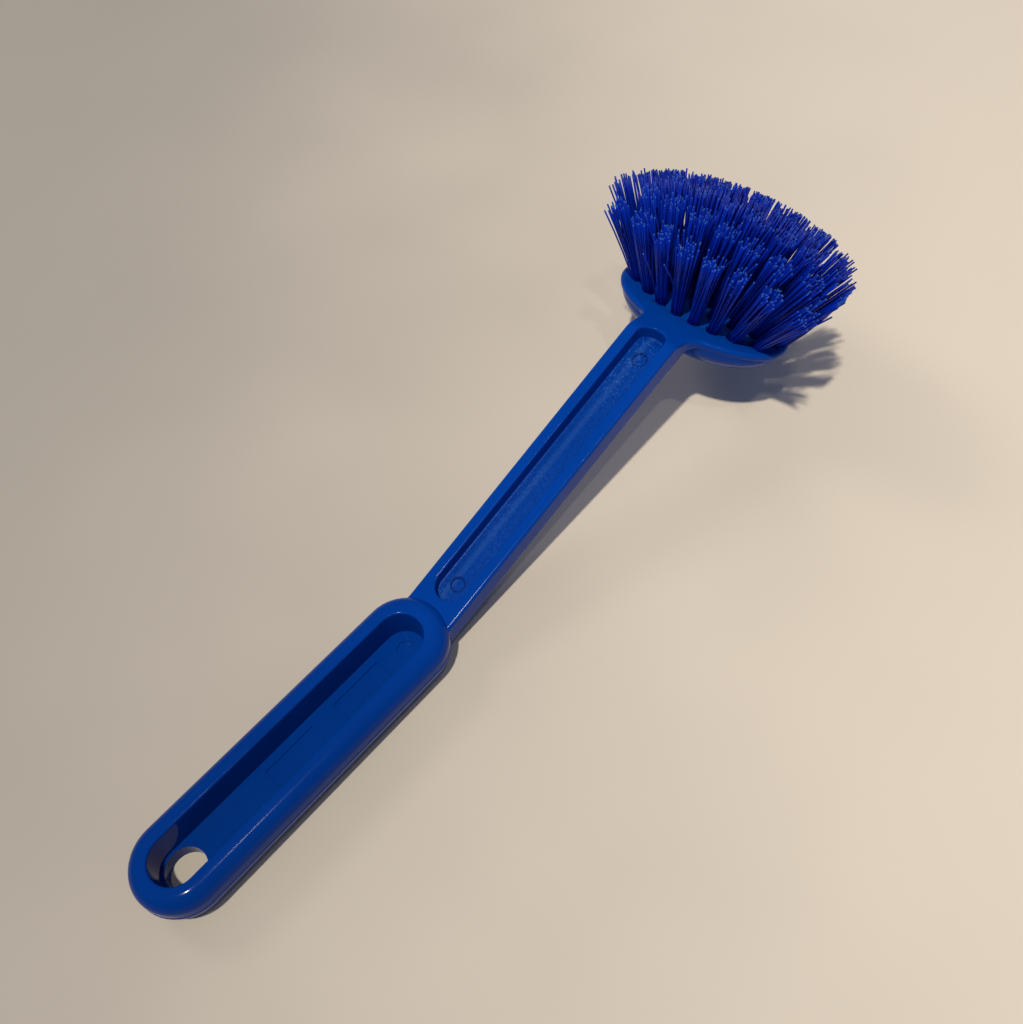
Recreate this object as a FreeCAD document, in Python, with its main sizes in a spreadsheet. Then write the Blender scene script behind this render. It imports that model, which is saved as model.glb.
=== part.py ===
import FreeCAD, Part
import math
import os
import Sketcher

Vector = FreeCAD.Vector
Rotation = FreeCAD.Rotation

# Driving sizes in millimetres, angles in degrees
SIZES = (
    ("grip_length", 112.5),
    ("grip_width", 27.0),
    ("grip_height", 16.4),
    ("grip_top_round", 5.0),
    ("grip_back_round", 8.0),
    ("parting_height", 8.2),
    ("parting_width", 0.3),
    ("parting_stand", 0.12),
    ("recess_length", 98.7),
    ("recess_width", 14.4),
    ("recess_depth", 10.9),
    ("recess_draft", 2.5),
    ("recess_rim_round", 0.7),
    ("hang_hole_radius", 6.0),
    ("panel_length", 18.0),
    ("panel_width", 8.0),
    ("panel_first", 41.0),
    ("panel_pitch", 26.5),
    ("mark_depth", 0.4),
    ("grip_pin_radius", 3.0),
    ("grip_pin_place", 85.0),
    ("neck_foot_reach", 6.0),
    ("neck_foot_height", 12.58),
    ("neck_foot_width", 17.2),
    ("neck_foot_round", 7.5),
    ("neck_foot_sink", 1.0),
    ("neck_run", 108.4),
    ("neck_tilt", 15.91),
    ("neck_head_width", 18.2),
    ("neck_thickness", 8.3),
    ("neck_bend_radius", 6.0),
    ("neck_under_radius", 15.0),
    ("neck_recess_start", 8.5),
    ("neck_recess_run", 103.5),
    ("neck_recess_width", 10.0),
    ("neck_recess_depth", 4.2),
    ("neck_recess_head_depth", 5.2),
    ("neck_recess_round", 0.5),
    ("neck_pin_radius", 2.2),
    ("neck_pin_near", 7.3),
    ("neck_pin_far", 9.4),
    ("head_tilt", 21.6),
    ("head_reach", 30.53),
    ("head_half_length", 21.7),
    ("head_half_width", 31.0),
    ("head_yoke_round", 6.0),
    ("rim_thickness", 2.8),
    ("edge_round", 1.0),
    ("under_round", 1.2),
    ("dome_inset", 1.2),
    ("dome_drop", 1.8),
    ("dome_depth", 12.5),
    ("dish_depth", 1.5),
    ("dish_edge_radius", 41.0),
    ("dish_near_lip", 8.3),
    ("dish_far_lip", 4.9),
    ("dish_wall", 1.8),
    ("face_half_length", 14.0),
    ("face_half_width", 26.0),
    ("face_forward", 0.8),
    ("face_crown", 4.0),
    ("root_height", 3.0),
    ("bend_lift", 1.2),
    ("row_start", 9.8),
    ("row_step", 5.6),
    ("row_pitch", 6.5),
    ("row_bow_radius", 41.0),
    ("fan_lean", 0.1),
    ("fan_along", 29.7),
    ("fan_across", 23.4),
    ("fan_side_back", 22.1),
    ("fan_across_gain", 15.0),
    ("tuft_radius", 1.9),
    ("tuft_tip_radius", 3.2),
    ("tuft_length", 34.0),
    ("tuft_root_depth", 4.2),
    ("tuft_clearance", 0.05),
    ("anchor_width", 4.5),
    ("anchor_thickness", 0.4),
    ("anchor_height", 1.8),
    ("anchor_rise", 0.9),
    ("anchor_clearance", 0.02),
    ("overrun", 5.0),
)

# Tufts in each row, counted from the handle side of the head
ROW_COUNTS = (8, 9, 8, 7, 5)
# Part of the fan angle that the drilled hole takes, the bristles bend through the rest
HOLE_ALONG_SHARE = 0.35
HOLE_ACROSS_SHARE = 0.6

doc = FreeCAD.newDocument("dish_brush")
sheet = doc.addObject("Spreadsheet::Sheet", "sizes")
for row, (alias, amount) in enumerate(SIZES, start=1):
    sheet.set(f"A{row}", alias)
    sheet.set(f"B{row}", str(amount))
    sheet.setAlias(f"B{row}", alias)
doc.recompute()


def value(text):
    """Number that an expression on the sheet gives."""
    result = sheet.evalExpression(text)
    return float(getattr(result, "Value", result))


def size(alias):
    """Number in one named cell."""
    return float(sheet.get(alias))


def bind(thing, **expressions):
    """Bind properties of an object to expressions on the sheet."""
    for name, text in expressions.items():
        thing.setExpression(name, text)


def place(thing, along="0", across="0", up="0"):
    """Bind the position of an object to expressions along X, Y and Z."""
    thing.setExpression(".Placement.Base.x", along)
    thing.setExpression(".Placement.Base.y", across)
    thing.setExpression(".Placement.Base.z", up)


def origin_plane(body, role):
    """One of the three origin planes of a body."""
    return next(item for item in body.Origin.OriginFeatures if item.Role == role)


def new_sketch(body, name, role="XY_Plane", up=None, along=None):
    """Sketch on an origin plane of a body, moved by expressions."""
    sketch = body.newObject("Sketcher::SketchObject", name)
    sketch.AttachmentSupport = [(origin_plane(body, role), "")]
    sketch.MapMode = "FlatFace"
    if along is not None:
        sketch.setExpression(".AttachmentOffset.Base.x", along)
    if up is not None:
        sketch.setExpression(".AttachmentOffset.Base.z", up)
    return sketch


def drive(sketch, name, text, *constraint):
    """Add a dimension to a sketch and bind it to an expression."""
    index = sketch.addConstraint(Sketcher.Constraint(*constraint, value(text)))
    sketch.renameConstraint(index, name)
    sketch.setExpression(f"Constraints.{name}", text)


def polygon(sketch, corners):
    """Closed outline through corners given as pairs of expressions."""
    points = [Vector(value(first), value(second), 0) for first, second in corners]
    for index, point in enumerate(points):
        sketch.addGeometry(Part.LineSegment(point, points[(index + 1) % len(points)]), False)
    for index in range(len(points)):
        sketch.addConstraint(Sketcher.Constraint("Coincident", index, 2, (index + 1) % len(points), 1))
    for index, (first, second) in enumerate(corners):
        drive(sketch, f"first_{index}", first, "DistanceX", -1, 1, index, 1)
        drive(sketch, f"second_{index}", second, "DistanceY", -1, 1, index, 1)


def slot(sketch, length, width):
    """Stadium outline, its first end centred on the sketch origin."""
    half = value(f"({width}) / 2")
    span = value(f"({length}) - ({width})")
    right = math.pi / 2
    normal = Vector(0, 0, 1)
    near = Part.Circle(Vector(0, 0, 0), normal, half)
    far = Part.Circle(Vector(span, 0, 0), normal, half)
    sketch.addGeometry(Part.ArcOfCircle(near, right, 3 * right), False)
    sketch.addGeometry(Part.LineSegment(Vector(0, -half, 0), Vector(span, -half, 0)), False)
    sketch.addGeometry(Part.ArcOfCircle(far, -right, right), False)
    sketch.addGeometry(Part.LineSegment(Vector(span, half, 0), Vector(0, half, 0)), False)
    for index in range(4):
        sketch.addConstraint(Sketcher.Constraint("Tangent", index, 2, (index + 1) % 4, 1))
    sketch.addConstraint(Sketcher.Constraint("Equal", 0, 2))
    sketch.addConstraint(Sketcher.Constraint("Coincident", 0, 3, -1, 1))
    sketch.addConstraint(Sketcher.Constraint("PointOnObject", 2, 3, -1))
    drive(sketch, "round", f"({width}) / 2", "Radius", 0)
    drive(sketch, "span", f"({length}) - ({width})", "DistanceX", 0, 3, 2, 3)


def circle(sketch, radius):
    """Circle centred on the sketch origin."""
    sketch.addGeometry(Part.Circle(Vector(0, 0, 0), Vector(0, 0, 1), value(radius)), False)
    sketch.addConstraint(Sketcher.Constraint("Coincident", 0, 3, -1, 1))
    drive(sketch, "radius", radius, "Radius", 0)


def pad(body, sketch, name, length, both_ways=False):
    """Pad a sketch, to one side or evenly to both."""
    feature = body.newObject("PartDesign::Pad", name)
    feature.Profile = sketch
    feature.SideType = "Symmetric" if both_ways else "One side"
    bind(feature, Length=length)
    doc.recompute()
    return feature


def pocket(body, sketch, name, length, taper=None):
    """Pocket downwards from a sketch."""
    feature = body.newObject("PartDesign::Pocket", name)
    feature.Profile = sketch
    bind(feature, Length=length)
    if taper is not None:
        bind(feature, TaperAngle=taper)
    doc.recompute()
    return feature


def fillet(body, name, base, wanted, radius):
    """Round the edges of a feature that a test picks."""
    names = [f"Edge{number}" for number, edge in enumerate(base.Shape.Edges, start=1) if wanted(edge)]
    feature = body.newObject("PartDesign::Fillet", name)
    feature.Base = (base, names)
    bind(feature, Radius=radius)
    doc.recompute()
    return feature


def level(edge, height):
    """True for an edge that lies flat at a height."""
    box = edge.BoundBox
    return abs(box.ZMin - height) < NEAR and abs(box.ZMax - height) < NEAR


def within(edge, half_width):
    """True for an edge that stays inside a half width on both sides of the middle line."""
    box = edge.BoundBox
    return max(-box.YMin, box.YMax) < half_width + NEAR


def upright(edge):
    """True for a straight edge along Z."""
    box = edge.BoundBox
    return box.XLength < NEAR and box.YLength < NEAR and box.ZLength > NEAR


NEAR = size("tuft_clearance")

# Places along the brush, from the axis of the hanging hole
GRIP_FRONT = "(sizes.grip_length - sizes.grip_width / 2)"
FOOT_X = f"({GRIP_FRONT} - sizes.neck_foot_reach)"
RIDGE_X = f"({FOOT_X} + sizes.neck_run)"
NECK_SLOPE = "tan(sizes.neck_tilt * 1 deg)"
HEAD_SLOPE = "tan(sizes.head_tilt * 1 deg)"
HEAD_COS = "cos(sizes.head_tilt * 1 deg)"
HEAD_SIN = "sin(sizes.head_tilt * 1 deg)"
RIDGE_Z = f"(sizes.neck_foot_height + sizes.neck_run * {NECK_SLOPE})"
NECK_DROP = "(sizes.neck_thickness / cos(sizes.neck_tilt * 1 deg))"
RIM_DROP = f"(sizes.rim_thickness / {HEAD_COS})"
HEAD_X = f"({RIDGE_X} + sizes.head_reach * {HEAD_COS})"
HEAD_Z = f"({RIDGE_Z} - sizes.head_reach * {HEAD_SIN})"
HEAD_RUN = f"((sizes.head_reach + sizes.head_half_length) * {HEAD_COS} + sizes.overrun)"
UNDER_RUN = f"(({NECK_DROP} - {RIM_DROP}) / ({NECK_SLOPE} + {HEAD_SLOPE}))"
UNDER_X = f"({RIDGE_X} + {UNDER_RUN})"
UNDER_Z = f"({RIDGE_Z} - {UNDER_RUN} * {HEAD_SLOPE} - {RIM_DROP})"

# Grip: stadium block, rounded rim and back, parting line, drafted recess, hanging hole
grip = doc.addObject("PartDesign::Body", "grip")
outline = new_sketch(grip, "grip_outline")
slot(outline, "sizes.grip_length", "sizes.grip_width")
block = pad(grip, outline, "grip_block", "sizes.grip_height")
rim = fillet(grip, "grip_rim", block, lambda e: level(e, size("grip_height")), "sizes.grip_top_round")
fillet(grip, "grip_back", rim, lambda e: level(e, 0), "sizes.grip_back_round")
seam = new_sketch(grip, "parting_outline", up="sizes.parting_height - sizes.parting_width / 2")
slot(seam, "sizes.grip_length + 2 * sizes.parting_stand", "sizes.grip_width + 2 * sizes.parting_stand")
pad(grip, seam, "parting_line", "sizes.parting_width")
opening = new_sketch(grip, "recess_outline", up="sizes.grip_height")
slot(opening, "sizes.recess_length", "sizes.recess_width")
recess = pocket(grip, opening, "grip_recess", "sizes.recess_depth", "-sizes.recess_draft")
fillet(
    grip,
    "recess_rim",
    recess,
    lambda e: level(e, size("grip_height")) and within(e, size("recess_width") / 2),
    "sizes.recess_rim_round",
)
hole_ring = new_sketch(grip, "hang_ring", up="sizes.grip_height")
circle(hole_ring, "sizes.hang_hole_radius")
pocket(grip, hole_ring, "hang_hole", "sizes.grip_height + sizes.overrun")

# Side view of neck and head, bent over at the ridge
side = doc.addObject("PartDesign::Body", "side_view")
profile = new_sketch(side, "side_outline", "XZ_Plane")
polygon(profile, (
    (FOOT_X, "sizes.neck_foot_height"),
    (RIDGE_X, RIDGE_Z),
    (f"{RIDGE_X} + {HEAD_RUN}", f"{RIDGE_Z} - {HEAD_RUN} * {HEAD_SLOPE}"),
    (f"{RIDGE_X} + {HEAD_RUN}", f"{RIDGE_Z} - {HEAD_RUN} * {HEAD_SLOPE} - {RIM_DROP}"),
    (UNDER_X, UNDER_Z),
    (FOOT_X, f"sizes.neck_foot_height - {NECK_DROP}"),
))
side_block = pad(side, profile, "side_block", "2 * sizes.head_half_width + 2 * sizes.overrun", True)
ridge_x = value(RIDGE_X)


def crosses(edge, along, up):
    """True for an edge across the brush whose middle is at a place along and up."""
    middle = edge.CenterOfMass
    return abs(middle.x - along) < NEAR and abs(middle.z - up) < NEAR


bend = fillet(
    side,
    "neck_bend",
    side_block,
    lambda e: crosses(e, ridge_x, value(RIDGE_Z)),
    "sizes.neck_bend_radius",
)
fillet(
    side,
    "neck_under_bend",
    bend,
    lambda e: crosses(e, value(UNDER_X), value(UNDER_Z)),
    "sizes.neck_under_radius",
)

# Plan of neck, head oval and the rounded front of the grip, with rounded inner corners
plan = doc.addObject("PartDesign::Body", "plan_view")
PLAN_HEIGHT = f"{RIDGE_Z} + sizes.overrun"
strip = new_sketch(plan, "neck_strip")
FRONT_CENTRE = "(sizes.grip_length - sizes.grip_width)"
polygon(strip, (
    (FRONT_CENTRE, "-sizes.neck_foot_width / 2"),
    (HEAD_X, "-sizes.neck_head_width / 2"),
    (HEAD_X, "sizes.neck_head_width / 2"),
    (FRONT_CENTRE, "sizes.neck_foot_width / 2"),
))
pad(plan, strip, "neck_strip_block", PLAN_HEIGHT)
oval = new_sketch(plan, "head_oval", along=HEAD_X)
half_width = size("head_half_width")
half_length = value(f"sizes.head_half_length * {HEAD_COS}")
oval.addGeometry(Part.Ellipse(Vector(0, half_width, 0), Vector(-half_length, 0, 0), Vector(0, 0, 0)), False)
oval.exposeInternalGeometry(0)
oval.addConstraint(Sketcher.Constraint("Coincident", 0, 3, -1, 1))
oval.addConstraint(Sketcher.Constraint("Vertical", 1))
drive(oval, "across", "2 * sizes.head_half_width", "Distance", 1)
drive(oval, "along", f"2 * sizes.head_half_length * {HEAD_COS}", "Distance", 2)
pad(plan, oval, "head_oval_block", PLAN_HEIGHT)
front = new_sketch(plan, "grip_front", along=FRONT_CENTRE)
circle(front, "sizes.grip_width / 2 - sizes.neck_foot_sink")
front_block = pad(plan, front, "grip_front_block", PLAN_HEIGHT)
neck_half = size("neck_head_width") / 2


def inner_corner(edge, head_end):
    """True for an upright edge where the neck runs into the head or the grip."""
    if not upright(edge):
        return False
    middle = edge.CenterOfMass
    at_head = middle.x > (ridge_x + value(FOOT_X)) / 2
    return at_head == head_end and abs(middle.y) < neck_half + NEAR and middle.x > value(FRONT_CENTRE) + NEAR


yoke = fillet(plan, "head_yoke", front_block, lambda e: inner_corner(e, True), "sizes.head_yoke_round")
fillet(plan, "neck_foot", yoke, lambda e: inner_corner(e, False), "sizes.neck_foot_round")

# Recess along the neck, its floor following the bend
recess_side = doc.addObject("PartDesign::Body", "neck_recess_side")
floor_line = new_sketch(recess_side, "neck_recess_floor", "XZ_Plane")
FLOOR_END = f"({RIDGE_X} + sizes.head_reach * {HEAD_COS})"
FLOOR_TOP = f"({RIDGE_Z} + sizes.overrun)"
FLOOR_FOOT_Z = "(sizes.neck_foot_height - sizes.neck_recess_depth)"
FLOOR_RIDGE_Z = f"({RIDGE_Z} - sizes.neck_recess_head_depth)"
FLOOR_SLOPE = f"(({FLOOR_RIDGE_Z} - {FLOOR_FOOT_Z}) / sizes.neck_run)"
polygon(floor_line, (
    (FOOT_X, FLOOR_FOOT_Z),
    (RIDGE_X, FLOOR_RIDGE_Z),
    (FLOOR_END, f"{HEAD_Z} - sizes.neck_recess_head_depth"),
    (FLOOR_END, FLOOR_TOP),
    (FOOT_X, FLOOR_TOP),
))
floor_block = pad(recess_side, floor_line, "neck_recess_block", "sizes.neck_recess_width + sizes.overrun", True)
fillet(
    recess_side,
    "neck_recess_bend",
    floor_block,
    lambda e: crosses(e, ridge_x, value(FLOOR_RIDGE_Z)),
    "sizes.neck_bend_radius",
)
recess_plan = doc.addObject("PartDesign::Body", "neck_recess_plan")
recess_slot = new_sketch(
    recess_plan,
    "neck_recess_slot",
    along=f"{FOOT_X} + sizes.neck_recess_start + sizes.neck_recess_width / 2",
)
slot(recess_slot, "sizes.neck_recess_run", "sizes.neck_recess_width")
pad(recess_plan, recess_slot, "neck_recess_slot_block", PLAN_HEIGHT)
neck_recess = doc.addObject("Part::MultiCommon", "neck_recess")
neck_recess.Shapes = [recess_side, recess_plan]

# Neck and head plate where both views agree, with rounded edges
crossing = doc.addObject("Part::MultiCommon", "neck_and_plate")
crossing.Shapes = [side, plan]
recessed = doc.addObject("Part::Cut", "recessed_plate")
recessed.Base = crossing
recessed.Tool = neck_recess
doc.recompute()
plate = doc.addObject("PartDesign::Body", "plate")
plate.BaseFeature = recessed
doc.recompute()


def rise(face):
    """Upward part of a face's outward direction at its middle."""
    first, last, low, high = face.ParameterRange
    return face.normalAt((first + last) / 2, (low + high) / 2).z


def is_wall(face):
    """True for a face that stands upright."""
    return abs(rise(face)) < math.sin(math.radians(1))


def flat_rise(edge, base):
    """Upward part of the flatter face at an edge that it shares with an upright wall, or zero."""
    faces = base.Shape.ancestorsOfType(edge, Part.Face)
    flat = [face for face in faces if not is_wall(face)]
    return rise(flat[0]) if len(faces) == 2 and len(flat) == 1 else 0


def outside(edge):
    """True for an edge round the outside of the neck and the head plate."""
    behind = edge.BoundBox.XMax < value(FOOT_X) + size("neck_foot_reach") / 2
    return not behind and not within(edge, size("neck_recess_width") / 2)


def recess_edge(edge):
    """True for an edge of the neck recess, at its rim or its floor."""
    return within(edge, size("neck_recess_width") / 2) and flat_rise(edge, under_round) != 0


plate_base = plate.Tip
top_round = fillet(
    plate,
    "rounded_edges",
    plate_base,
    lambda e: outside(e) and flat_rise(e, plate_base) > 0,
    "sizes.edge_round",
)
under_round = fillet(
    plate,
    "rounded_under",
    top_round,
    lambda e: outside(e) and flat_rise(e, top_round) < 0,
    "sizes.under_round",
)
fillet(plate, "rounded_recess", under_round, recess_edge, "sizes.neck_recess_round")

# Head frame: X away from the handle along the head, Z out of the bristle face
HEAD_TURN = Rotation(Vector(0, 1, 0), size("head_tilt"))
head_place = FreeCAD.Placement(Vector(value(HEAD_X), 0, value(HEAD_Z)), HEAD_TURN)


def in_head(thing, out_of_face, forward="0"):
    """Set an object in the head frame, on the middle line of the head."""
    thing.Placement = FreeCAD.Placement(Vector(), HEAD_TURN)
    place(
        thing,
        f"{HEAD_X} + ({out_of_face}) * {HEAD_SIN} + ({forward}) * {HEAD_COS}",
        "0",
        f"{HEAD_Z} + ({out_of_face}) * {HEAD_COS} - ({forward}) * {HEAD_SIN}",
    )


def half_ball(name, depth, along, across, upper):
    """Half of an ellipsoid, above or below its flat face."""
    ball = doc.addObject("Part::Ellipsoid", name)
    bind(ball, Radius1=depth, Radius2=along, Radius3=across)
    ball.Angle1 = 0 if upper else -90
    ball.Angle2 = 90 if upper else 0
    return ball


dome = half_ball(
    "head_dome",
    "sizes.dome_depth",
    "sizes.head_half_length - sizes.dome_inset",
    "sizes.head_half_width - sizes.dome_inset",
    False,
)
in_head(dome, "-sizes.dome_drop")
blank = doc.addObject("Part::MultiFuse", "handle_blank")
blank.Shapes = [grip, plate, dome]

# Lens-shaped dish in the bristle face, inside a thin rim
dish_shapes = []
for name, forward in (
    ("dish_near_edge", "sizes.dish_near_lip + sizes.dish_edge_radius - sizes.head_half_length"),
    ("dish_far_edge", "sizes.head_half_length - sizes.dish_far_lip - sizes.dish_edge_radius"),
):
    arc = doc.addObject("Part::Cylinder", name)
    bind(arc, Radius="sizes.dish_edge_radius", Height="sizes.dish_depth + sizes.overrun")
    in_head(arc, "-sizes.dish_depth", forward)
    dish_shapes.append(arc)
ring = doc.addObject("Part::Ellipse", "dish_ring")
bind(
    ring,
    MajorRadius="sizes.head_half_width - sizes.dish_wall",
    MinorRadius="sizes.head_half_length - sizes.dish_wall",
)
ring.Placement = FreeCAD.Placement(Vector(), HEAD_TURN.multiply(Rotation(Vector(0, 0, 1), 90)))
place(ring, f"{HEAD_X} - sizes.dish_depth * {HEAD_SIN}", "0", f"{HEAD_Z} - sizes.dish_depth * {HEAD_COS}")
ring_block = doc.addObject("Part::Extrusion", "dish_ring_block")
ring_block.Base = ring
ring_block.DirMode = "Normal"
ring_block.Solid = True
bind(ring_block, LengthFwd="sizes.dish_depth + sizes.overrun")
dish_shapes.append(ring_block)
dish = doc.addObject("Part::MultiCommon", "dish")
dish.Shapes = dish_shapes
dished = doc.addObject("Part::Cut", "dished_blank")
dished.Base = blank
dished.Tool = dish

# Raised face in the dish that the tufts stand on
face = half_ball(
    "bristle_face",
    "sizes.dish_depth + sizes.root_height - sizes.bend_lift",
    "sizes.face_half_length",
    "sizes.face_half_width",
    True,
)
in_head(face, "-sizes.dish_depth", "sizes.face_forward")
faced = doc.addObject("Part::MultiFuse", "faced_blank")
faced.Shapes = [dished, face]

# Ejector-pin circles and plain panels sunk a little into the recess floors
FLOOR_Z = "(sizes.grip_height - sizes.recess_depth)"
marks = []
grip_pin = doc.addObject("Part::Cylinder", "grip_pin_mark")
bind(grip_pin, Radius="sizes.grip_pin_radius", Height="sizes.mark_depth + sizes.recess_depth / 2")
place(grip_pin, "sizes.grip_pin_place", "0", f"{FLOOR_Z} - sizes.mark_depth")
marks.append(grip_pin)
for index in range(2):
    panel = doc.addObject("Part::Box", f"panel_mark_{index + 1}")
    bind(panel, Length="sizes.panel_length", Width="sizes.panel_width", Height="sizes.recess_depth / 2")
    place(
        panel,
        f"sizes.panel_first + {index} * sizes.panel_pitch - sizes.panel_length / 2",
        "-sizes.panel_width / 2",
        f"{FLOOR_Z} - sizes.mark_depth",
    )
    marks.append(panel)
NECK_PIN_FIRST = "(sizes.neck_recess_start + sizes.neck_pin_near)"
NECK_PIN_LAST = "(sizes.neck_recess_start + sizes.neck_recess_run - sizes.neck_pin_far)"
for name, run in (("neck_pin_mark_1", NECK_PIN_FIRST), ("neck_pin_mark_2", NECK_PIN_LAST)):
    pin = doc.addObject("Part::Cylinder", name)
    bind(pin, Radius="sizes.neck_pin_radius", Height="sizes.mark_depth + sizes.neck_recess_depth / 2")
    pin.Placement = FreeCAD.Placement(Vector(), Rotation(Vector(0, 1, 0), -value(f"atan({FLOOR_SLOPE})")))
    place(pin, f"{FOOT_X} + {run}", "0", f"{FLOOR_FOOT_Z} + {run} * {FLOOR_SLOPE} - sizes.mark_depth")
    marks.append(pin)


def tuft_places():
    """Root point, hole direction and bristle direction of every tuft, in the head frame."""
    places = []
    bow = size("row_bow_radius")
    for row, count in enumerate(ROW_COUNTS):
        start = size("row_start") + row * size("row_step") - size("head_half_length")
        for index in range(count):
            across = ((count - 1) / 2 - index) * size("row_pitch")
            along = start + bow - math.sqrt(bow * bow - across * across)
            along_share = (along - size("face_forward")) / size("face_half_length")
            across_share = across / size("face_half_width")
            spread = along_share * along_share + across_share * across_share
            root = Vector(along, across, size("root_height") - size("face_crown") * spread)
            lean = size("fan_lean") + size("fan_along") * along_share
            lean -= size("fan_side_back") * across_share * across_share
            tilt = (size("fan_across") + size("fan_across_gain") * along_share) * across_share
            places.append((root, aim(lean * HOLE_ALONG_SHARE, tilt * HOLE_ACROSS_SHARE), aim(lean, tilt)))
    return places


def aim(lean, tilt):
    """Unit direction that leans along the head and tilts across it, in degrees."""
    lean = math.radians(lean)
    direction = Vector(math.sin(lean), math.tan(math.radians(tilt)), math.cos(lean))
    return direction.normalize()


def tuft_solid(name, turn, spare, extra):
    """Tuft about its bend point: root in the hole, rounded bend, spreading bristles."""
    root = doc.addObject("Part::Cylinder", f"{name}_root")
    bind(root, Radius=f"sizes.tuft_radius + {spare}", Height=f"sizes.tuft_root_depth + {extra}")
    place(root, up=f"-sizes.tuft_root_depth - {extra}")
    ball = doc.addObject("Part::Sphere", f"{name}_bend")
    bind(ball, Radius=f"sizes.tuft_radius + {spare}")
    flare = doc.addObject("Part::Cone", f"{name}_flare")
    bind(
        flare,
        Radius1=f"sizes.tuft_radius + {spare}",
        Radius2=f"sizes.tuft_tip_radius + {spare}",
        Height="sizes.tuft_length",
    )
    flare.Placement = FreeCAD.Placement(Vector(), turn)
    whole = doc.addObject("Part::MultiFuse", name)
    whole.Shapes = [root, ball, flare]
    return whole


def anchor_box(name, spare):
    """Flat anchor across the bottom of a tuft hole, about the bend point."""
    box = doc.addObject("Part::Box", name)
    bind(
        box,
        Length=f"sizes.anchor_thickness + 2 * {spare}",
        Width=f"sizes.anchor_width + 2 * {spare}",
        Height=f"sizes.anchor_height + 2 * {spare}",
    )
    return box


def anchor_place(box, spare):
    """Middle of the anchor on the hole axis, above the hole bottom."""
    place(
        box,
        f"-sizes.anchor_thickness / 2 - {spare}",
        f"-sizes.anchor_width / 2 - {spare}",
        f"sizes.anchor_rise - sizes.tuft_root_depth - {spare}",
    )


UP = Vector(0, 0, 1)
nodes = []
anchors = []
tuft_spaces = []
for number, (root, hole_axis, bristle_axis) in enumerate(tuft_places(), start=1):
    stand = head_place.multiply(FreeCAD.Placement(root, Rotation(UP, hole_axis)))
    turn = Rotation(UP, Rotation(UP, hole_axis).inverted().multVec(bristle_axis))
    whole = tuft_solid(f"bundle_{number:02d}", turn, "0", "0")
    fold = anchor_box(f"fold_{number:02d}", "sizes.anchor_clearance")
    anchor_place(fold, "sizes.anchor_clearance")
    tuft = doc.addObject("Part::Cut", f"tuft_{number:02d}")
    tuft.Base = whole
    tuft.Tool = fold
    tuft.Placement = stand
    tuft.Label = f"tuft_{number:02d}"
    nodes.append(tuft)
    room = tuft_solid(f"room_{number:02d}", turn, "sizes.tuft_clearance", "sizes.tuft_clearance")
    room.Placement = stand
    tuft_spaces.append(room)
    for label, spare in (("anchor", "0"), ("anchor_slot", "sizes.anchor_clearance")):
        box = anchor_box(f"{label}_{number:02d}_plate", spare)
        anchor_place(box, spare)
        holder = doc.addObject("Part::Compound", f"{label}_{number:02d}")
        holder.Links = [box]
        holder.Placement = stand
        (anchors if label == "anchor" else tuft_spaces).append(holder)

# Handle: everything moulded in one piece
spaces = doc.addObject("Part::MultiFuse", "cut_spaces")
spaces.Shapes = tuft_spaces
cuts = doc.addObject("Part::Compound", "floor_cuts")
cuts.Links = marks
floored = doc.addObject("Part::Cut", "floored_blank")
floored.Base = faced
floored.Tool = cuts
handle = doc.addObject("Part::Cut", "handle")
handle.Base = floored
handle.Tool = spaces
handle.Label = "handle"
nodes.append(handle)

anchor_group = doc.addObject("Part::Compound", "anchor_staples")
anchor_group.Links = anchors
anchor_group.Label = "anchor_staples"
nodes.append(anchor_group)

doc.recompute()
for item in doc.Objects:
    if "Invalid" in item.State or "Error" in item.State:
        raise RuntimeError(f"{item.Name} did not build: {item.State}")
os.makedirs("parts", exist_ok=True)
for node in nodes:
    if node.Shape.isNull() or not node.Shape.isValid():
        raise RuntimeError(f"{node.Label} has no valid shape")
    node.Shape.exportStep(f"parts/{node.Label}.step")
    box = node.Shape.BoundBox
    print(node.Label, len(node.Shape.Solids), round(node.Shape.Volume, 2), box)
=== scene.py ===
"""Looks of a long-handled dish brush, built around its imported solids."""

import logging
import math
import random
from dataclasses import dataclass
from enum import Enum
from typing import Iterator, Protocol

import bmesh
import bpy
from mathutils import Matrix, Vector


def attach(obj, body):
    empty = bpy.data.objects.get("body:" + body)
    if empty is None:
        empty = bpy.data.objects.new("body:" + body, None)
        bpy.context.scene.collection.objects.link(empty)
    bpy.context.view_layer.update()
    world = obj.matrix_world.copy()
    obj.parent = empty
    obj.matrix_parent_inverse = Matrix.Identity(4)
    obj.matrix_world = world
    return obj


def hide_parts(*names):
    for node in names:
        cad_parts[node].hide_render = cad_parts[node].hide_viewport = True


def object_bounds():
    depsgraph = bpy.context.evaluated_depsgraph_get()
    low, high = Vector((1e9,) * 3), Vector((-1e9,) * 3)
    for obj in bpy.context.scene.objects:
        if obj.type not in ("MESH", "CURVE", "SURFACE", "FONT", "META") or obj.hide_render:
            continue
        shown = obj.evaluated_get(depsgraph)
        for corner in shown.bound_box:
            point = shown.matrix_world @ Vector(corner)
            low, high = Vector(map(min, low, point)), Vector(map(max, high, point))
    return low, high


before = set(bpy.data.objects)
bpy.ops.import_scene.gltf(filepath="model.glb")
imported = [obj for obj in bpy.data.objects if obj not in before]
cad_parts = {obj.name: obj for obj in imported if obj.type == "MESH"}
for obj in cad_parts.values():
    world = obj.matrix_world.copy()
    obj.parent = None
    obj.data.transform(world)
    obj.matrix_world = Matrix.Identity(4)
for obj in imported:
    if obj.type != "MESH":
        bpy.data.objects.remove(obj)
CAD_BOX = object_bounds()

Socket = bpy.types.NodeSocket
Colour = tuple[float, float, float, float]
Triple = tuple[float, float, float]
Span = tuple[float, float]
Line = tuple[Vector, Vector, Vector]

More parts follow.
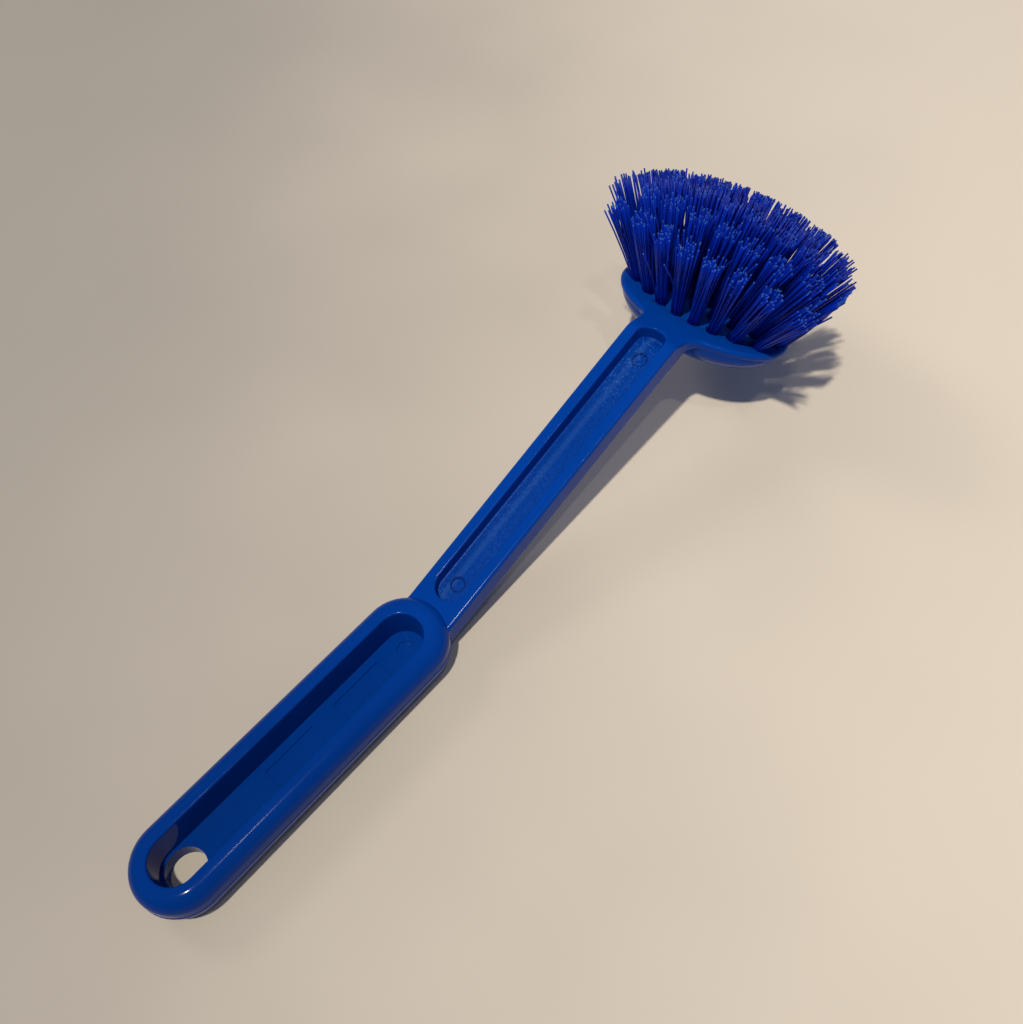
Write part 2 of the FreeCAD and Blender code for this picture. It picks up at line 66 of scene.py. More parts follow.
LOG = logging.getLogger("dish_brush")
BODY = "root"
MM = 0.001
GOLDEN_ANGLE = math.pi * (3.0 - math.sqrt(5.0))
NOISE_SPAN: Span = (0.3, 0.7)
RISING: Span = (0.0, 1.0)
FALLING: Span = (1.0, 0.0)


class Slot(Enum):
    """Name of the bristles' material slot; nothing in this script uses it."""

    BRISTLE = "bristle"


class Layer(Enum):
    """Values that each filament carries in its mesh."""

    ALONG = "along"
    STRAND = "strand"


class NodeSheet:
    """Short way to add and join shader nodes in one tree."""

    def __init__(self, tree: bpy.types.NodeTree) -> None:
        """Keep the tree that nodes are added to."""
        self.tree = tree

    def give(self, socket: Socket, given: object) -> None:
        """Join a socket to an input, or set the input's own value.

        Args:
            socket: the input.
            given: a socket or a plain value.
        """
        if isinstance(given, Socket):
            self.tree.links.new(given, socket)
        else:
            socket.default_value = given

    def add(self, kind: str, inputs: dict | None = None, **settings: object) -> bpy.types.Node:
        """Add a node.

        Args:
            kind: Blender's name of the node type.
            inputs: values or sockets for its inputs, by name or number.
            settings: properties of the node itself.

        Returns:
            The new node.
        """
        node = self.tree.nodes.new(kind)
        for name, setting in settings.items():
            setattr(node, name, setting)
        for name, given in (inputs or {}).items():
            self.give(node.inputs[name], given)
        return node

    def maths(self, operation: str, *given: object) -> Socket:
        """Add a Math node.

        Args:
            operation: name of the operation.
            given: values or sockets for its inputs.

        Returns:
            The result socket.
        """
        node = self.add("ShaderNodeMath", dict(enumerate(given)), operation=operation)
        return node.outputs[0]

    def times(self, *given: object) -> Socket:
        """Multiply values.

        Args:
            given: two or more values or sockets.

        Returns:
            The product socket.
        """
        product = given[0]
        for factor in given[1:]:
            product = self.maths("MULTIPLY", product, factor)
        return product

    def ramp(self, given: object, limits: Span, results: Span = RISING) -> Socket:
        """Smooth step of a value between two limits.

        Args:
            given: value or socket to map.
            limits: the values where the step starts and ends.
            results: what it gives before the start and after the end.

        Returns:
            The result socket.
        """
        settings = {
            "Value": given,
            "From Min": limits[0],
            "From Max": limits[1],
            "To Min": results[0],
            "To Max": results[1],
        }
        node = self.add("ShaderNodeMapRange", settings, interpolation_type="SMOOTHSTEP")
        return node.outputs["Result"]

    def blend(self, share: object, first: object, second: object) -> Socket:
        """Mix two colours.

        Args:
            share: how much of the second colour shows.
            first: colour at zero.
            second: colour at one.

        Returns:
            The mixed colour socket.
        """
        node = self.add("ShaderNodeMix", data_type="RGBA")
        for name, given in (("Factor_Float", share), ("A_Color", first), ("B_Color", second)):
            self.give(next(s for s in node.inputs if s.identifier == name), given)
        return next(s for s in node.outputs if s.identifier == "Result_Color")

    def relief(self, height: Socket, strength: float, distance: float) -> Socket:
        """Turn a height into a bumped normal.

        Args:
            height: the height socket.
            strength: strength of the bump.
            distance: depth of the bump.

        Returns:
            The normal socket.
        """
        node = self.add("ShaderNodeBump", {"Height": height, "Strength": strength, "Distance": distance})
        return node.outputs["Normal"]

    def feed(self, shader: bpy.types.Node, inputs: dict[str, object]) -> None:
        """Give a shader its sockets and plain values.

        Args:
            shader: the material's shader.
            inputs: values or sockets by the name of the input.
        """
        for name, given in inputs.items():
            self.give(shader.inputs[name], given)


class Grain:
    """Shared shader group: fine surface grain and slow mottling of a moulded or drawn surface."""

    NAME = "surface_grain"
    GRAIN_DETAIL = 3.0
    MOTTLE_DETAIL = 2.0

    @classmethod
    def group(cls) -> bpy.types.NodeTree:
        """Build the group once.

        Returns:
            The node tree of the group.
        """
        if cls.NAME in bpy.data.node_groups:
            return bpy.data.node_groups[cls.NAME]
        tree = bpy.data.node_groups.new(cls.NAME, "ShaderNodeTree")
        tree.interface.new_socket("Vector", in_out="INPUT", socket_type="NodeSocketVector")
        details = {"Grain": cls.GRAIN_DETAIL, "Mottle": cls.MOTTLE_DETAIL}
        for name in details:
            tree.interface.new_socket(f"{name} Scale", in_out="INPUT", socket_type="NodeSocketFloat")
        for name in details:
            tree.interface.new_socket(name, in_out="OUTPUT", socket_type="NodeSocketFloat")
        sheet = NodeSheet(tree)
        given = sheet.add("NodeGroupInput").outputs
        results = {}
        for name, detail in details.items():
            settings = {"Vector": given["Vector"], "Scale": given[f"{name} Scale"], "Detail": detail}
            results[name] = sheet.add("ShaderNodeTexNoise", settings).outputs["Fac"]
        sheet.add("NodeGroupOutput", results)
        return tree

    @classmethod
    def place(cls, sheet: NodeSheet, vector: Socket, grain: float, mottle: float) -> tuple[Socket, Socket]:
        """Place the group in a material.

        Args:
            sheet: the material's nodes.
            vector: coordinates that the grain follows.
            grain: scale of the fine grain.
            mottle: scale of the slow mottling.

        Returns:
            The sockets of the grain and of the mottling.
        """
        node = sheet.add("ShaderNodeGroup", node_tree=cls.group())
        sheet.feed(node, {"Vector": vector, "Grain Scale": grain, "Mottle Scale": mottle})
        return node.outputs["Grain"], node.outputs["Mottle"]


def fresh_material(name: str) -> tuple[bpy.types.Material, NodeSheet, bpy.types.Node, Socket]:
    """Start a material with one Principled shader.

    Args:
        name: name of the material.

    Returns:
        The material, its nodes, its Principled shader and its object coordinates.
    """
    material = bpy.data.materials.new(name)
    material.use_nodes = True
    sheet = NodeSheet(material.node_tree)
    shader = next(n for n in material.node_tree.nodes if n.type == "BSDF_PRINCIPLED")
    return material, sheet, shader, sheet.add("ShaderNodeTexCoord").outputs["Object"]


class Finish(Protocol):
    """Anything that can build one material."""

    def material(self) -> bpy.types.Material:
        """Build the material."""


@dataclass(frozen=True)
class MouldedBlue:
    """Glossy blue moulded plastic, rough on the floor of the neck recess; painted light makes it brighter
    towards the head, and painted glints, a painted sheen and painted shade at the moulding marks sit on
    that floor.
    """

    deep: Colour = (0.0003, 0.028, 0.19, 1.0)
    bright: Colour = (0.0004, 0.048, 0.33, 1.0)
    # painted highlight colour of the glints and sheen on the recess floor
    spark: Colour = (0.06, 0.19, 0.55, 1.0)
    # painted shade colour for the edges of the moulding marks
    shade: Colour = (0.0002, 0.014, 0.11, 1.0)
    grain_scale: float = 1300.0
    mottle_scale: float = 34.0
    # painted light: where the plastic is painted from deep at the grip to bright towards the head
    painted_light_along: Span = (30.0 * MM, 150.0 * MM)
    painted_light_shares: Span = (0.1, 0.9)
    pale_mottle: float = 0.5
    polish: Span = (0.1, 0.15)
    ior: float = 1.49
    specular: float = 0.08
    relief_strength: float = 0.5
    relief_depth: float = 0.3 * MM
    relief_grain: float = 0.02
    floor_relief: float = 0.7
    floor_start: float = 101.5 * MM
    floor_end: float = 205.0 * MM
    floor_half: float = 5.1 * MM
    floor_height: float = -17.27 * MM
    floor_slope: float = 0.2758
    floor_fade: float = 1.0 * MM
    floor_edge: float = 0.6 * MM
    floor_above: Span = (0.5 * MM, 0.9 * MM)
    floor_below: Span = (-1.6 * MM, -1.0 * MM)
    floor_roughness: float = 0.16
    floor_grain: Span = (0.35, 0.65)
    floor_share: float = 0.6
    ridge_x: float = 201.4 * MM
    ridge_height: float = 38.28 * MM
    ridge_slope: float = -0.396
    pins: Span = (108.8 * MM, 195.6 * MM)
    pin_radius: float = 2.2 * MM
    pin_edge: Span = (0.15 * MM, 0.5 * MM)
    pin_share: float = 0.75
    streak_side: float = 1.7 * MM
    streak_edge: Span = (0.2 * MM, 1.6 * MM)
    streak_share: float = 0.14
    facet_scale: float = 1900.0
    facet_chosen: Span = (0.74, 0.8)
    facet_core: Span = (0.2, 0.62)
    facet_patches: Span = (0.4, 0.62)
    facet_sides: Span = (-3.0 * MM, 2.0 * MM)
    facet_least: float = 0.35
    facet_share: float = 0.55

    def floor_mask(self, sheet: NodeSheet, parts: dict[str, Socket]) -> Socket:
        """One on the floor of the neck recess and zero elsewhere.

        Args:
            sheet: the material's nodes.
            parts: object coordinates by axis.

        Returns:
            The mask socket.
        """
        rise = sheet.maths("MULTIPLY_ADD", parts["X"], self.floor_slope, self.floor_height)
        start_height = self.ridge_height - self.ridge_slope * self.ridge_x
        fall = sheet.maths("MULTIPLY_ADD", parts["X"], self.ridge_slope, start_height)
        off = sheet.maths("SUBTRACT", parts["Z"], sheet.maths("MINIMUM", rise, fall))
        away = sheet.maths("ABSOLUTE", parts["Y"])
        return sheet.times(
            sheet.ramp(off, self.floor_above, FALLING),
            sheet.ramp(off, self.floor_below),
            sheet.ramp(away, (self.floor_half - self.floor_edge, self.floor_half), FALLING),
            sheet.ramp(parts["X"], (self.floor_start - self.floor_fade, self.floor_start)),
            sheet.ramp(parts["X"], (self.floor_end, self.floor_end + self.floor_fade), FALLING),
        )

    def facets(self, sheet: NodeSheet, place: Socket, side: Socket, patches: Socket) -> Socket:
        """Painted glints: scattered bright facets of a spark-eroded surface.

        Args:
            sheet: the material's nodes.
            place: object coordinates.
            side: the coordinate across the handle.
            patches: slow mottling that thins the facets out.

        Returns:
            A socket that is one on a facet.
        """
        settings = {"Vector": place, "Scale": self.facet_scale}
        cells = sheet.add("ShaderNodeTexVoronoi", settings, feature="F1").outputs
        chance = sheet.add("ShaderNodeSeparateColor", {"Color": cells["Color"]}).outputs["Red"]
        return sheet.times(
            sheet.ramp(chance, self.facet_chosen),
            sheet.ramp(cells["Distance"], self.facet_core, FALLING),
            sheet.ramp(patches, self.facet_patches),
            sheet.ramp(side, self.facet_sides, (self.facet_least, 1.0)),
        )

    def pin_rings(self, sheet: NodeSheet, parts: dict[str, Socket]) -> Socket:
        """Painted shade on the edges of the two round moulding marks.

        Args:
            sheet: the material's nodes.
            parts: object coordinates by axis.

        Returns:
            A socket that is one on the edge of a mark.
        """
        rings = []
        for pin in self.pins:
            off = sheet.maths("SUBTRACT", parts["X"], pin)
            square = sheet.maths("MULTIPLY_ADD", off, off, sheet.times(parts["Y"], parts["Y"]))
            gap = sheet.maths("SUBTRACT", sheet.maths("SQRT", square), self.pin_radius)
            rings.append(sheet.ramp(sheet.maths("ABSOLUTE", gap), self.pin_edge, FALLING))
        return sheet.maths("MAXIMUM", *rings)

    def painted_sheen(self, sheet: NodeSheet, side: Socket) -> Socket:
        """Painted sheen: a soft pale band along one side of the floor of the recess.

        Args:
            sheet: the material's nodes.
            side: the coordinate across the handle.

        Returns:
            The share of the painted highlight colour.
        """
        off = sheet.maths("ABSOLUTE", sheet.maths("SUBTRACT", side, self.streak_side))
        return sheet.ramp(off, self.streak_edge, (self.streak_share, 0.0))

    def material(self) -> bpy.types.Material:
        """Build the material.

        Returns:
            The finished material.
        """
        material, sheet, shader, place = fresh_material("moulded_blue")
        grain, mottle = Grain.place(sheet, place, self.grain_scale, self.mottle_scale)
        parts = sheet.add("ShaderNodeSeparateXYZ", {"Vector": place}).outputs
        mask = self.floor_mask(sheet, parts)
        # Painted light: darker at the grip and brighter towards the head, as the light falls off; the
        # mottle adds uneven tone of its own.
        share = sheet.ramp(parts["X"], self.painted_light_along, self.painted_light_shares)
        share = sheet.maths("MULTIPLY_ADD", sheet.maths("SUBTRACT", mottle, 0.5), self.pale_mottle, share)
        body = sheet.blend(share, self.deep, self.bright)
        rough_body = sheet.blend(sheet.ramp(grain, self.floor_grain), self.deep, self.bright)
        body = sheet.blend(sheet.times(mask, self.floor_share), body, rough_body)
        # Painted sheen along one side of the recess floor.
        body = sheet.blend(sheet.times(mask, self.painted_sheen(sheet, parts["Y"])), body, self.spark)
        # Painted shade on the edges of the moulding marks on the recess floor.
        ring = sheet.times(self.pin_rings(sheet, parts), mask, self.pin_share)
        body = sheet.blend(ring, body, self.shade)
        # Painted glints on the recess floor, in the painted highlight colour.
        facet = sheet.times(self.facets(sheet, place, parts["Y"], mottle), mask, self.facet_share)
        polish = sheet.ramp(mottle, NOISE_SPAN, self.polish)
        height = sheet.maths("MULTIPLY_ADD", grain, self.relief_grain, mottle)
        height = sheet.maths("MULTIPLY_ADD", sheet.times(grain, mask), self.floor_relief, height)
        sheet.feed(shader, {
            "Base Color": sheet.blend(facet, body, self.spark),
            "Roughness": sheet.maths("MULTIPLY_ADD", mask, self.floor_roughness, polish),
            "Normal": sheet.relief(height, self.relief_strength, self.relief_depth),
            "IOR": self.ior,
            "Specular IOR Level": self.specular,
        })
        return material


@dataclass(frozen=True)
class FilamentBlue:
    """Satin blue filament with cut ends painted paler as a painted highlight, and a little difference from
    strand to strand.
    """

    dark: Colour = (0.0002, 0.006, 0.21, 1.0)
    light: Colour = (0.0005, 0.027, 0.43, 1.0)
    # painted highlight colour on the cut ends
    cut: Colour = (0.035, 0.115, 0.37, 1.0)
    grain_scale: float = 2600.0
    mottle_scale: float = 120.0
    cut_along: Span = (0.985, 1.0)
    pale_strands: Span = (0.3, 0.9)
    painted_light_shares: Span = (0.1, 0.75)
    roughness: Span = (0.3, 0.42)
    relief_strength: float = 0.1
    relief_depth: float = 0.05 * MM
    ior: float = 1.5
    specular: float = 0.12

    def material(self) -> bpy.types.Material:
        """Build the material.

        Returns:
            The finished material.
        """
        material, sheet, shader, place = fresh_material("filament_blue")
        grain, mottle = Grain.place(sheet, place, self.grain_scale, self.mottle_scale)
        along, strand = (
            sheet.add("ShaderNodeAttribute", attribute_name=layer.value).outputs["Fac"]
            for layer in (Layer.ALONG, Layer.STRAND)
        )
        body = sheet.blend(strand, self.dark, self.light)
        # Painted highlight on the cut ends of some strands.
        tip = sheet.ramp(along, self.cut_along)
        pale = sheet.ramp(strand, self.pale_strands, self.painted_light_shares)
        sheet.feed(shader, {
            "Base Color": sheet.blend(sheet.times(tip, pale), body, self.cut),
            "Roughness": sheet.ramp(mottle, NOISE_SPAN, self.roughness),
            "Normal": sheet.relief(grain, self.relief_strength, self.relief_depth),
            "IOR": self.ior,
            "Specular IOR Level": self.specular,
        })
        return material


@dataclass(frozen=True)
class AnchorStrip:
    """Bright metal strip that the anchors are cut from, drawn along its length."""

    dark: Colour = (0.46, 0.46, 0.45, 1.0)
    light: Colour = (0.66, 0.66, 0.64, 1.0)
    drawn: Triple = (1.0, 0.05, 1.0)
    grain_scale: float = 9000.0
    mottle_scale: float = 600.0
    roughness: Span = (0.25, 0.45)
    relief_strength: float = 0.2
    relief_depth: float = 0.02 * MM

    def material(self) -> bpy.types.Material:
        """Build the material.

        Returns:
            The finished material.
        """
        material, sheet, shader, place = fresh_material("anchor_strip")
        drawn = sheet.add("ShaderNodeMapping", {"Vector": place, "Scale": self.drawn}).outputs["Vector"]
        grain, mottle = Grain.place(sheet, drawn, self.grain_scale, self.mottle_scale)
        sheet.feed(shader, {
            "Base Color": sheet.blend(mottle, self.dark, self.light),
            "Roughness": sheet.ramp(grain, NOISE_SPAN, self.roughness),
            "Normal": sheet.relief(grain, self.relief_strength, self.relief_depth),
            "Metallic": 1.0,
        })
        return material


@dataclass(frozen=True)
class PalePaper:
    """Plain pale sheet under the brush, painted a little darker to the left as painted shade where the
    light falls off.
    """

    left: Colour = (0.395, 0.35, 0.30, 1.0)
    right: Colour = (0.82, 0.705, 0.57, 1.0)
    across: Triple = (0.661, -0.760, 0.0)
    left_at: float = -0.13
    right_at: float = 0.32
    uneven: float = 0.12
    grain_scale: float = 260.0
    mottle_scale: float = 9.0
    roughness: float = 0.8
    specular: float = 0.2
    relief_strength: float = 0.08
    relief_depth: float = 4.0 * MM

    def material(self) -> bpy.types.Material:
        """Build the material.

        Returns:
            The finished material.
        """
        material, sheet, shader, place = fresh_material("pale_paper")
        mottle = Grain.place(sheet, place, self.grain_scale, self.mottle_scale)[1]
        reach = sheet.add("ShaderNodeVectorMath", {0: place, 1: self.across}, operation="DOT_PRODUCT")
        reach = sheet.maths("MULTIPLY_ADD", mottle, self.uneven, reach.outputs["Value"])
        middle = self.uneven / 2
        # Painted shade: the sheet is painted darker to the left, where less light falls.
        share = sheet.ramp(reach, (self.left_at + middle, self.right_at + middle))
        sheet.feed(shader, {
            "Base Color": sheet.blend(share, self.left, self.right),
            "Normal": sheet.relief(mottle, self.relief_strength, self.relief_depth),
            "Roughness": self.roughness,
            "Specular IOR Level": self.specular,
        })
        return material


def give_material(thing: bpy.types.Object, material: bpy.types.Material) -> None:
    """Make a material the only one on an object.

    Args:
        thing: object to dress.
        material: its finish.
    """
    thing.data.materials.clear()
    thing.data.materials.append(material)


def new_object(name: str, mesh: bmesh.types.BMesh, material: bpy.types.Material) -> bpy.types.Object:
    """Turn a finished mesh into an object of the scene.

    Args:
        name: name of the object and its mesh.
        mesh: the mesh, which is freed.
        material: its finish.

    Returns:
        The new object.
    """
    data = bpy.data.meshes.new(name)
    mesh.to_mesh(data)
    mesh.free()
    thing = bpy.data.objects.new(name, data)
    bpy.context.scene.collection.objects.link(thing)
    give_material(thing, material)
    return thing


@dataclass(frozen=True)
class SolidPiece:
    """A solid that shows as it was packed."""

    node: str

    def dress(self, finish: Finish) -> bpy.types.Object:
        """Give the solid its finish.

        Args:
            finish: what it is made of.

        Returns:
            The dressed object.
        """
        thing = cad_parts[self.node]
        give_material(thing, finish.material())
        return thing


@dataclass(frozen=True)
class TuftPlace:
    """Where one tuft stands, the ways its hole and bristles point, and the way its fold parts them."""

    number: int
    row: int
    mouth: Vector
    solid_tip: Vector
    hole: Vector
    bristles: Vector
    fold: Vector


@dataclass
class BristleField:
    """Fanned tufts of filament in curved rows on the head."""

    rows: tuple[int, ...] = (8, 9, 8, 7, 5)
    head: Triple = (229.79 * MM, 0.0, 32.24 * MM)
    head_tilt: float = 21.6
    half_length: float = 21.7 * MM
    row_start: float = 9.8 * MM
    row_step: float = 5.6 * MM
    row_pitch: float = 6.5 * MM
    row_bow: float = 41.0 * MM
    face_length: float = 14.0 * MM
    face_width: float = 26.0 * MM
    face_forward: float = 0.8 * MM
    face_crown: float = 4.0 * MM
    root_height: float = 3.0 * MM
    lean: float = 0.1
    fan_along: float = 29.7
    fan_across: float = 23.4
    side_back: float = 22.1
    across_gain: float = 15.0
    hole_along: float = 0.35
    hole_across: float = 0.6
    comb: tuple[float, ...] = (-9.2, -9.6, -6.0, -2.0, 1.5)
    comb_fan: tuple[float, ...] = (8.0, 6.0, 3.0, 1.5, 0.0)
    comb_turn: tuple[float, ...] = (0.0, 5.0, 8.0, 8.0, 5.0)
    strands: tuple[int, ...] = (34, 42, 50, 54, 56)
    strand_radius: float = 0.26 * MM
    sides: int = 6
    joints: int = 3
    root_radius: float = 1.6 * MM
    tip_radii: tuple[float, ...] = (3.0 * MM, 3.8 * MM, 4.5 * MM, 4.9 * MM, 5.1 * MM)
    tip_spread: Span = (0.82, 1.05)
    root_depth: float = 2.5 * MM
    length: float = 34.0 * MM
    bend_along: float = 0.4
    bend_spread: float = 0.22
    lobe_gap: float = 0.5 * MM
    wander: float = 0.6 * MM
    near_painted_light: tuple[float, ...] = (0.45, 0.2, 0.0, 0.0, 0.0)
    stray_share: float = 0.05
    stray_reach: float = 3.2 * MM
    trim: float = 0.8 * MM
    short_share: float = 0.06
    short_by: float = 9.0 * MM
    short_range: Span = (0.2, 1.0)
    draw_back: float = 0.15
    seed: int = 11

    def __post_init__(self) -> None:
        """Build the filament that the tufts are made of."""
        self.template = self.strand_template()

    def aim(self, lean: float, tilt: float) -> Vector:
        """Direction in the head frame.

        Args:
            lean: degrees along the head.
            tilt: degrees across it.

        Returns:
            A unit vector.
        """
        lean = math.radians(lean)
        return Vector((math.sin(lean), math.tan(math.radians(tilt)), math.cos(lean))).normalized()

    def places(self) -> Iterator[TuftPlace]:
        """Go through the rows from the neck outwards.

        Returns:
            The tufts in the order of their nodes.
        """
        number = 0
        for row, count in enumerate(self.rows):
            for index in range(count):
                number += 1
                yield self.tuft_place(number, row, ((count - 1) / 2 - index) * self.row_pitch)

    def tuft_place(self, number: int, row: int, across: float) -> TuftPlace:
        """Work out one tuft from its row and the fan.

        Args:
            number: number of its node.
            row: its row, from zero at the neck.
            across: its place in the row, from the middle of the head.

        Returns:
            Where the tuft stands and how it points.
        """
        turn = Matrix.Rotation(math.radians(self.head_tilt), 4, "Y")
        stand = Matrix.Translation(self.head) @ turn
        start = self.row_start + row * self.row_step - self.half_length
        along = start + self.row_bow - math.sqrt(self.row_bow * self.row_bow - across * across)
        along_share = (along - self.face_forward) / self.face_length
        across_share = across / self.face_width
        crown = self.face_crown * (along_share ** 2 + across_share ** 2)
        mouth = stand @ Vector((along, across, self.root_height - crown))
        lean = self.lean + self.fan_along * along_share - self.side_back * across_share ** 2
        tilt = (self.fan_across + self.across_gain * along_share) * across_share
        hole = turn @ self.aim(lean * self.hole_along, tilt * self.hole_across)
        solid_tip = mouth + turn @ self.aim(lean, tilt) * self.length
        combed = self.comb[row] + self.comb_fan[row] * across_share
        combed += self.comb_turn[row] * min(0.0, across_share) ** 2
        bristles = turn @ self.aim(lean, tilt + combed)
        fold = turn @ Vector((1.0, 0.0, 0.0))
        fold = (fold - bristles * fold.dot(bristles)).normalized()
        return TuftPlace(number, row, mouth, solid_tip, hole, bristles, fold)

    def strand_template(self) -> bpy.types.Mesh:
        """Build one straight filament of unit length, standing on the origin.

        Returns:
            The mesh that every filament starts from.
        """
        mesh = bmesh.new()
        radius = self.strand_radius
        bmesh.ops.create_cone(
            mesh, cap_ends=True, segments=self.sides, radius1=radius, radius2=radius, depth=1.0
        )
        bmesh.ops.translate(mesh, verts=mesh.verts[:], vec=(0.0, 0.0, 0.5))
        long_edges = [e for e in mesh.edges if e.calc_length() > 0.5]
        bmesh.ops.subdivide_edges(mesh, edges=long_edges, cuts=self.joints)
        for face in mesh.faces:
            face.smooth = len(face.verts) == 4
        for layer in Layer:
            mesh.verts.layers.float.new(layer.value)
        data = bpy.data.meshes.new("strand")
        mesh.to_mesh(data)
        mesh.free()
        return data

    def add_strand(self, mesh: bmesh.types.BMesh, points: Line, shade: float) -> None:
        """Add one filament along a bent line.

        Args:
            mesh: the tuft's mesh.
            points: root, bend and tip of the filament.
            shade: its own shade, from zero to one.
        """
        mesh.from_mesh(self.template)
        mesh.verts.ensure_lookup_table()
        root, bend, tip = points
        axis = (tip - bend).normalized()
        side = axis.orthogonal().normalized()
        across = axis.cross(side)
        along_layer = mesh.verts.layers.float[Layer.ALONG.value]
        strand_layer = mesh.verts.layers.float[Layer.STRAND.value]
        for vert in mesh.verts[-len(self.template.vertices):]:
            share = vert.co.z
            line = root * (1 - share) ** 2 + bend * (2 * share * (1 - share)) + tip * share ** 2
            vert[along_layer] = share
            vert[strand_layer] = shade
            vert.co = line + side * vert.co.x + across * vert.co.y

    def strand_lines(self, place: TuftPlace, chance: random.Random) -> Iterator[Line]:
        """Lines of the filaments of one tuft, spread from the hole to the trimmed ends.

        Args:
            place: where the tuft stands.
            chance: source of the small differences.

        Returns:
            Root, bend and tip of each filament.
        """
        across = place.bristles.cross(place.fold)
        phase = chance.uniform(0.0, math.tau)
        middle = place.mouth + place.bristles * self.length
        count = self.strands[place.row]
        for index in range(count):
            reach = math.sqrt((index + 0.5) / count)
            angle = index * GOLDEN_ANGLE + phase
            ring = place.fold * math.cos(angle) + across * math.sin(angle)
            loose = Vector((chance.gauss(0, 1), chance.gauss(0, 1), chance.gauss(0, 1)))
            loose -= place.bristles * loose.dot(place.bristles)
            loose *= self.stray_reach if chance.random() < self.stray_share else self.wander
            foot = place.mouth + ring * (reach * self.root_radius)
            spread = ring * (reach * self.tip_radii[place.row] * chance.uniform(*self.tip_spread))
            lobe = place.fold * math.copysign(self.lobe_gap, math.cos(angle))
            is_short = chance.random() < self.short_share
            short = chance.uniform(*self.short_range) * self.short_by if is_short else 0.0
            trim = place.bristles * (-abs(chance.gauss(0, self.trim)) - short)
            tip = self.keep_inside(middle + spread + lobe + loose + trim, place.solid_tip)
            rise = place.bristles * (self.bend_along * self.length)
            bend = foot + rise + (spread + lobe) * self.bend_spread
            yield foot - place.hole * self.root_depth, bend, tip

    def keep_inside(self, tip: Vector, home: Vector) -> Vector:
        """Draw a tip back towards the end of its tuft's solid until it is inside the solids' box.

        Args:
            tip: the end of a filament.
            home: the middle of the solid's end.

        Returns:
            The tip, or a point nearer to the solid.
        """
        low, high = (Vector(corner) for corner in CAD_BOX)
        room = Vector((self.strand_radius,) * 3)
        while any(tip[i] < low[i] + room[i] or tip[i] > high[i] - room[i] for i in range(3)):
            tip = tip.lerp(home, self.draw_back)
        return tip

    def build_tuft(
        self, place: TuftPlace, material: bpy.types.Material, chance: random.Random
    ) -> bpy.types.Object:
        """Build one tuft of filaments.

        Args:
            place: where it stands.
            material: its finish.
            chance: source of its small differences.

        Returns:
            The tuft's object.
        """
        mesh = bmesh.new()
        for layer in Layer:
            mesh.verts.layers.float.new(layer.value)
        # Painted light: strands of the near rows are kept lighter, as they catch more of the light.
        least = self.near_painted_light[place.row]
        for points in self.strand_lines(place, chance):
            self.add_strand(mesh, points, least + (1 - least) * chance.random())
        thing = new_object(f"bristles_{place.number:02d}", mesh, material)
        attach(thing, BODY)
        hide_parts(f"tuft_{place.number:02d}")
        return thing

    def build(self, finish: Finish) -> list[bpy.types.Object]:
        """Build every tuft.

        Args:
            finish: the filament.

        Returns:
            The tufts' objects.
        """
        material = finish.material()
        chance = random.Random(self.seed)
        return [self.build_tuft(place, material, chance) for place in self.places()]


@dataclass(frozen=True)
class Lamp:
    """A square lamp that points at the brush."""

    name: str
    at: Triple
    size: float
    power: float
    colour: Triple
    in_gloss: bool = True


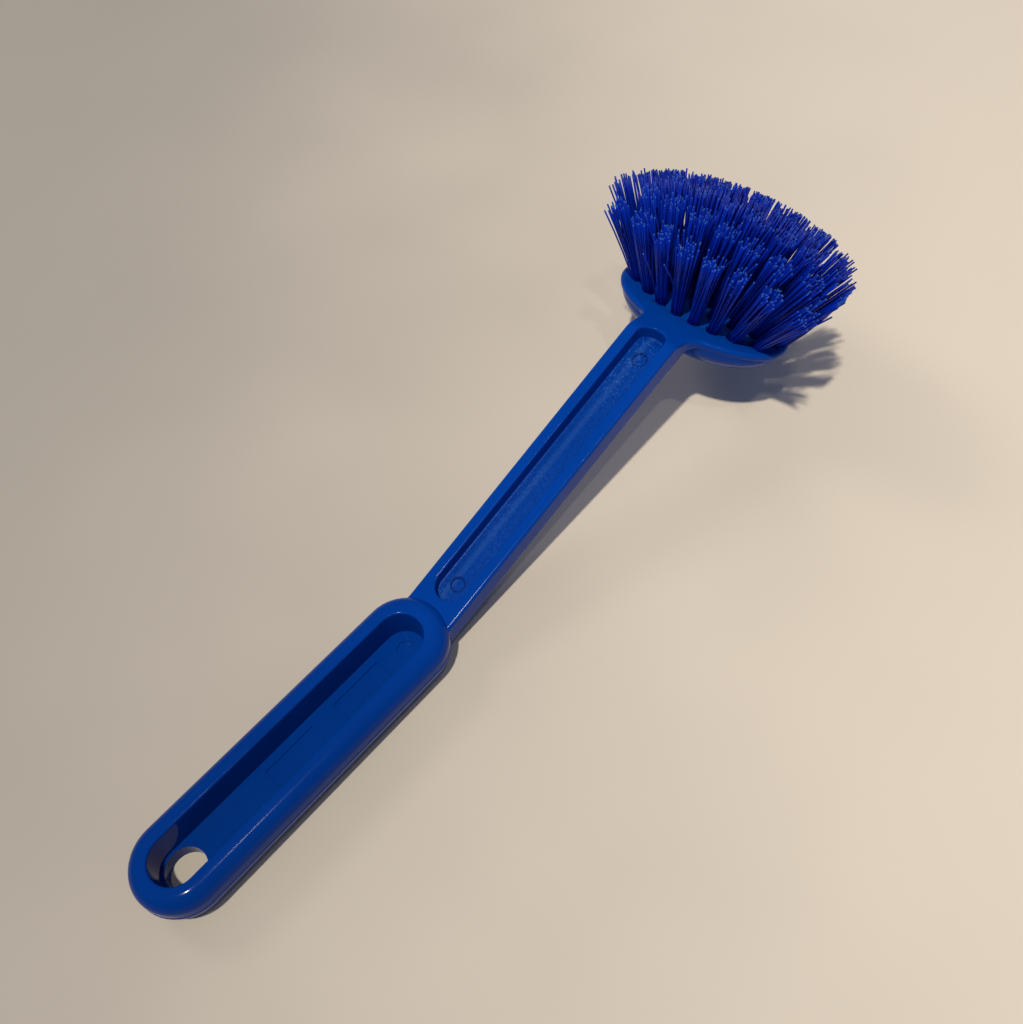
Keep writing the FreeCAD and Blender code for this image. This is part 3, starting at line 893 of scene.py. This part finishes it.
@dataclass
class Studio:
    """Floor, lamps and camera."""

    floor_half: float = 1.6
    floor_squares: int = 8
    lamps: tuple[Lamp, ...] = (
        Lamp("key_lamp", (-0.545, -0.225, 2.4), 0.08, 47.5, (1.0, 0.954, 0.81)),
        Lamp("rim_lamp", (0.0, -0.63, 2.3), 0.07, 3.8, (1.0, 0.96, 0.9)),
        Lamp("side_lamp", (-0.1, 1.4, 1.3), 0.5, 4.5, (1.0, 0.96, 0.9), in_gloss=False),
    )
    lit_point: Triple = (0.12, 0.0, 0.02)
    room_colour: Colour = (0.46, 0.58, 1.0, 1.0)
    room_strength: float = 0.26
    lens: float = 37.48
    sensor: float = 36.0
    clip: Span = (0.01, 20.0)
    eye: Triple = (18.06 * MM, -128.10 * MM, 295.47 * MM)
    heading: float = 47.827
    look_down: float = 57.620
    roll: float = -7.027

    def lay_floor(self, finish: Finish) -> bpy.types.Object:
        """Lay the sheet that the brush lies on.

        Args:
            finish: the paper.

        Returns:
            The floor's object.
        """
        mesh = bmesh.new()
        squares = self.floor_squares
        bmesh.ops.create_grid(mesh, x_segments=squares, y_segments=squares, size=self.floor_half)
        floor = new_object("floor", mesh, finish.material())
        return floor

    def hang_lamp(self, lamp: Lamp) -> None:
        """Hang a lamp.

        Args:
            lamp: its place, size, power and colour.
        """
        data = bpy.data.lights.new(lamp.name, "AREA")
        data.shape = "SQUARE"
        data.size = lamp.size
        data.energy = lamp.power
        data.color = lamp.colour
        thing = bpy.data.objects.new(lamp.name, data)
        bpy.context.scene.collection.objects.link(thing)
        thing.location = lamp.at
        thing.rotation_mode = "QUATERNION"
        thing.rotation_quaternion = (Vector(self.lit_point) - Vector(lamp.at)).to_track_quat("-Z", "Y")
        thing.visible_glossy = lamp.in_gloss

    def light(self) -> None:
        """Hang the lamps and set the even light of the room."""
        for lamp in self.lamps:
            self.hang_lamp(lamp)
        world = bpy.data.worlds.new("room")
        bpy.context.scene.world = world
        world.use_nodes = True
        background = next(n for n in world.node_tree.nodes if n.type == "BACKGROUND")
        background.inputs["Color"].default_value = self.room_colour
        background.inputs["Strength"].default_value = self.room_strength

    def set_camera(self) -> bpy.types.Object:
        """Set the camera where the photograph was taken from.

        Returns:
            The camera's object.
        """
        heading, down, roll = (math.radians(a) for a in (self.heading, self.look_down, self.roll))
        forward = Vector((math.cos(heading), math.sin(heading), 0.0))
        level = Vector((math.sin(heading), -math.cos(heading), 0.0))
        up = Vector((0.0, 0.0, 1.0))
        look = forward * math.cos(down) - up * math.sin(down)
        steep = forward * math.sin(down) + up * math.cos(down)
        right = level * math.cos(roll) + steep * math.sin(roll)
        top = steep * math.cos(roll) - level * math.sin(roll)
        data = bpy.data.cameras.new("camera")
        data.lens = self.lens
        data.sensor_width = self.sensor
        data.clip_start, data.clip_end = self.clip
        camera = bpy.data.objects.new("camera", data)
        bpy.context.scene.collection.objects.link(camera)
        turn = Matrix((right, top, -look)).transposed().to_4x4()
        camera.matrix_world = Matrix.Translation(self.eye) @ turn
        bpy.context.scene.camera = camera
        return camera


def main() -> None:
    """Build the pieces in order and report each one."""
    logging.basicConfig(level=logging.INFO, format="%(name)s: %(message)s")
    bpy.context.scene.view_settings.view_transform = "Standard"
    LOG.info("dressed %s", SolidPiece("handle").dress(MouldedBlue()).name)
    LOG.info("dressed %s", SolidPiece("anchor_staples").dress(AnchorStrip()).name)
    for tuft in BristleField().build(FilamentBlue()):
        LOG.info("built %s with %d faces", tuft.name, len(tuft.data.polygons))
    studio = Studio()
    LOG.info("laid %s", studio.lay_floor(PalePaper()).name)
    studio.light()
    LOG.info("set %s", studio.set_camera().name)


if __name__ == "__main__":
    main()
